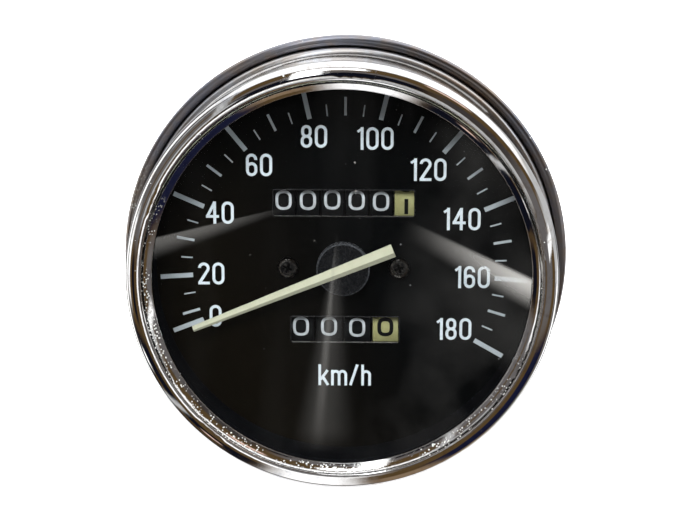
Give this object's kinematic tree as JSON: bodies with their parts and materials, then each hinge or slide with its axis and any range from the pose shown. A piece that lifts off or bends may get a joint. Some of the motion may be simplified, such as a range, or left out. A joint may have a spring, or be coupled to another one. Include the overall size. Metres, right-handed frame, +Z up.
{
  "type": "motorcycle speedometer",
  "caption": "Round mechanical motorcycle speedometer with chrome bezel and case, black km/h dial, main and trip counters and a cable-driven magnetic movement.",
  "frame": {"origin": "centre of the case's flat back face, midway between the two mounting studs", "axes": "+Y out of the back along the studs, +Z up to 12 o'clock, +X to 3 o'clock as the rider sees it"},
  "size_m": [0.0874, 0.0781, 0.0874],
  "materials": {
    "chrome_bezel": "polished, spotted with age",
    "chrome_case": "polished, spotted with age",
    "lens_glass": "clear",
    "black_rubber": "matt",
    "shroud_black": "satin",
    "plated_steel": "dull plating",
    "zinc_steel": "yellow zinc plating",
    "plain_steel": "bright",
    "black_steel": "blackened",
    "bronze": "plain",
    "black_plastic": "matt",
    "gear_plastic": "moulded",
    "dial_black": "satin",
    "dial_print": "screen print",
    "needle_green": "matt paint",
    "hub_black": "satin",
    "drum_black": "matt",
    "drum_yellow": "matt",
    "cup_aluminium": "plain",
    "magnet_iron": "plain"
  },
  "bodies": {
    "housing": {"bezel_ring": "chrome_bezel", "glass_lens": "lens_glass", "lens_gasket": "black_rubber", "recess_shroud": "shroud_black", "instrument_can": "plated_steel", "case_cup": "chrome_case", "rim_seal": "black_rubber", "damper_washers": "black_rubber", "mounting_studs": "zinc_steel", "cable_union": "plated_steel", "spindle_bushes": "bronze", "lamp_holders": "black_plastic", "lamp_bulbs": "lens_glass", "lamp_terminals": "bronze", "dial_plate": "dial_black", "dial_markings": "dial_print", "dial_screws": "black_steel", "front_plate": "zinc_steel", "rear_plate": "zinc_steel", "gear_bridge": "zinc_steel", "plate_pillars": "plain_steel", "plate_screws": "plain_steel", "counter_cheeks": "zinc_steel", "needle_bearing": "bronze", "flux_ring": "plain_steel", "hairspring": "bronze", "pinion_axles": "plain_steel"},
    "needle_group": {"needle": "needle_green", "needle_hub": "hub_black", "needle_spindle": "plain_steel", "drag_cup": "cup_aluminium"},
    "input_group": {"input_spindle": "plain_steel", "drive_magnet": "magnet_iron"},
    "cross_shaft": {"cross_shaft": "gear_plastic"},
    "main_riser": {"main_riser": "gear_plastic"},
    "trip_riser": {"trip_riser": "gear_plastic"},
    "main_counter_1": {"main_axle": "plain_steel", "main_drive_gear": "gear_plastic", "main_drum_1": "drum_yellow"},
    "main_counter_2": {"main_drum_2": "drum_black"},
    "main_counter_3": {"main_drum_3": "drum_black"},
    "main_counter_4": {"main_drum_4": "drum_black"},
    "main_counter_5": {"main_drum_5": "drum_black"},
    "main_counter_6": {"main_drum_6": "drum_black"},
    "main_pinion_1": {"main_pinion_1": "gear_plastic"},
    "main_pinion_2": {"main_pinion_2": "gear_plastic"},
    "main_pinion_3": {"main_pinion_3": "gear_plastic"},
    "main_pinion_4": {"main_pinion_4": "gear_plastic"},
    "main_pinion_5": {"main_pinion_5": "gear_plastic"},
    "trip_counter_1": {"trip_drive_gear": "gear_plastic", "trip_drum_1": "drum_yellow"},
    "trip_counter_2": {"trip_drum_2": "drum_black"},
    "trip_counter_3": {"trip_drum_3": "drum_black"},
    "trip_counter_4": {"trip_drum_4": "drum_black"},
    "trip_pinion_1": {"trip_pinion_1": "gear_plastic"},
    "trip_pinion_2": {"trip_pinion_2": "gear_plastic"},
    "trip_pinion_3": {"trip_pinion_3": "gear_plastic"},
    "trip_axle": {"trip_axle": "plain_steel"},
    "reset_group": {"reset_shaft": "plain_steel", "reset_knob": "black_plastic"}
  },
  "joints": [
    {"name": "needle_swing", "type": "hinge", "parent": "housing", "child": "needle_group", "pos_m": [0, -0.044, 0], "axis": [0, 1, 0], "range_deg": [0, 232], "stiffness_Nm_per_rad": 0.00002, "springref_deg": -2.86},
    {"name": "input_spin", "type": "hinge", "parent": "housing", "child": "input_group", "pos_m": [0, -0.019, 0], "axis": [0, 1, 0], "continuous": true},
    {"name": "cross_shaft_spin", "type": "hinge", "parent": "housing", "child": "cross_shaft", "pos_m": [0.0086, -0.0098, 0], "axis": [0, 0, 1], "continuous": true},
    {"name": "main_riser_spin", "type": "hinge", "parent": "housing", "child": "main_riser", "pos_m": [0.0179, -0.024, 0.0198], "axis": [0, 1, 0], "continuous": true},
    {"name": "trip_riser_spin", "type": "hinge", "parent": "housing", "child": "trip_riser", "pos_m": [0.0179, -0.024, -0.0196], "axis": [0, 1, 0], "continuous": true},
    {"name": "main_drum_1_spin", "type": "hinge", "parent": "housing", "child": "main_counter_1", "pos_m": [0.01196, -0.0348, 0.0125], "axis": [-1, 0, 0], "continuous": true},
    {"name": "main_drum_2_spin", "type": "hinge", "parent": "housing", "child": "main_counter_2", "pos_m": [0.00728, -0.0348, 0.0125], "axis": [-1, 0, 0], "continuous": true},
    {"name": "main_drum_3_spin", "type": "hinge", "parent": "housing", "child": "main_counter_3", "pos_m": [0.0026, -0.0348, 0.0125], "axis": [-1, 0, 0], "continuous": true},
    {"name": "main_drum_4_spin", "type": "hinge", "parent": "housing", "child": "main_counter_4", "pos_m": [-0.00208, -0.0348, 0.0125], "axis": [-1, 0, 0], "continuous": true},
    {"name": "main_drum_5_spin", "type": "hinge", "parent": "housing", "child": "main_counter_5", "pos_m": [-0.00676, -0.0348, 0.0125], "axis": [-1, 0, 0], "continuous": true},
    {"name": "main_drum_6_spin", "type": "hinge", "parent": "housing", "child": "main_counter_6", "pos_m": [-0.01144, -0.0348, 0.0125], "axis": [-1, 0, 0], "continuous": true},
    {"name": "main_pinion_1_spin", "type": "hinge", "parent": "housing", "child": "main_pinion_1", "pos_m": [0.00962, -0.03, 0.02081], "axis": [-1, 0, 0], "continuous": true},
    {"name": "main_pinion_2_spin", "type": "hinge", "parent": "housing", "child": "main_pinion_2", "pos_m": [0.00494, -0.03, 0.02081], "axis": [-1, 0, 0], "continuous": true},
    {"name": "main_pinion_3_spin", "type": "hinge", "parent": "housing", "child": "main_pinion_3", "pos_m": [0.00026, -0.03, 0.02081], "axis": [-1, 0, 0], "continuous": true},
    {"name": "main_pinion_4_spin", "type": "hinge", "parent": "housing", "child": "main_pinion_4", "pos_m": [-0.00442, -0.03, 0.02081], "axis": [-1, 0, 0], "continuous": true},
    {"name": "main_pinion_5_spin", "type": "hinge", "parent": "housing", "child": "main_pinion_5", "pos_m": [-0.0091, -0.03, 0.02081], "axis": [-1, 0, 0], "continuous": true},
    {"name": "trip_drum_1_spin", "type": "hinge", "parent": "housing", "child": "trip_counter_1", "pos_m": [0.00822, -0.0348, -0.0123], "axis": [-1, 0, 0], "continuous": true},
    {"name": "trip_drum_2_spin", "type": "hinge", "parent": "housing", "child": "trip_counter_2", "pos_m": [0.00274, -0.0348, -0.0123], "axis": [-1, 0, 0], "continuous": true},
    {"name": "trip_drum_3_spin", "type": "hinge", "parent": "housing", "child": "trip_counter_3", "pos_m": [-0.00274, -0.0348, -0.0123], "axis": [-1, 0, 0], "continuous": true},
    {"name": "trip_drum_4_spin", "type": "hinge", "parent": "housing", "child": "trip_counter_4", "pos_m": [-0.00822, -0.0348, -0.0123], "axis": [-1, 0, 0], "continuous": true},
    {"name": "trip_pinion_1_spin", "type": "hinge", "parent": "housing", "child": "trip_pinion_1", "pos_m": [0.00548, -0.03, -0.02061], "axis": [-1, 0, 0], "continuous": true},
    {"name": "trip_pinion_2_spin", "type": "hinge", "parent": "housing", "child": "trip_pinion_2", "pos_m": [0, -0.03, -0.02061], "axis": [-1, 0, 0], "continuous": true},
    {"name": "trip_pinion_3_spin", "type": "hinge", "parent": "housing", "child": "trip_pinion_3", "pos_m": [-0.00548, -0.03, -0.02061], "axis": [-1, 0, 0], "continuous": true},
    {"name": "reset_knob_turn", "type": "hinge", "parent": "housing", "child": "reset_group", "pos_m": [-0.0184, -0.019, -0.0196], "axis": [0, 1, 0], "continuous": true},
    {"name": "trip_axle_spin", "type": "hinge", "parent": "housing", "child": "trip_axle", "pos_m": [0, -0.0348, -0.0123], "axis": [-1, 0, 0], "continuous": true}
  ],
  "couplings": [
    {"joint": "cross_shaft_spin", "follows": "input_spin", "ratio": 0.1},
    {"joint": "main_riser_spin", "follows": "input_spin", "ratio": 0.01},
    {"joint": "trip_riser_spin", "follows": "input_spin", "ratio": 0.01},
    {"joint": "main_drum_1_spin", "follows": "input_spin", "ratio": 0.001},
    {"joint": "main_drum_2_spin", "follows": "input_spin", "ratio": 0.0001},
    {"joint": "main_drum_3_spin", "follows": "input_spin", "ratio": 0.00001},
    {"joint": "main_drum_4_spin", "follows": "input_spin", "ratio": 0.000001},
    {"joint": "main_drum_5_spin", "follows": "input_spin", "ratio": 0.0000001},
    {"joint": "main_drum_6_spin", "follows": "input_spin", "ratio": 0.00000001},
    {"joint": "main_pinion_1_spin", "follows": "input_spin", "ratio": -0.00033333},
    {"joint": "main_pinion_2_spin", "follows": "input_spin", "ratio": -0.000033333},
    {"joint": "main_pinion_3_spin", "follows": "input_spin", "ratio": -0.0000033333},
    {"joint": "main_pinion_4_spin", "follows": "input_spin", "ratio": -0.00000033333},
    {"joint": "main_pinion_5_spin", "follows": "input_spin", "ratio": -0.000000033333},
    {"joint": "trip_drum_1_spin", "follows": "input_spin", "ratio": 0.001},
    {"joint": "trip_drum_2_spin", "follows": "input_spin", "ratio": 0.0001},
    {"joint": "trip_drum_3_spin", "follows": "input_spin", "ratio": 0.00001},
    {"joint": "trip_drum_4_spin", "follows": "input_spin", "ratio": 0.000001},
    {"joint": "trip_pinion_1_spin", "follows": "input_spin", "ratio": -0.00033333},
    {"joint": "trip_pinion_2_spin", "follows": "input_spin", "ratio": -0.000033333},
    {"joint": "trip_pinion_3_spin", "follows": "input_spin", "ratio": -0.0000033333},
    {"joint": "trip_axle_spin", "follows": "reset_knob_turn", "ratio": 0.083333}
  ]
}
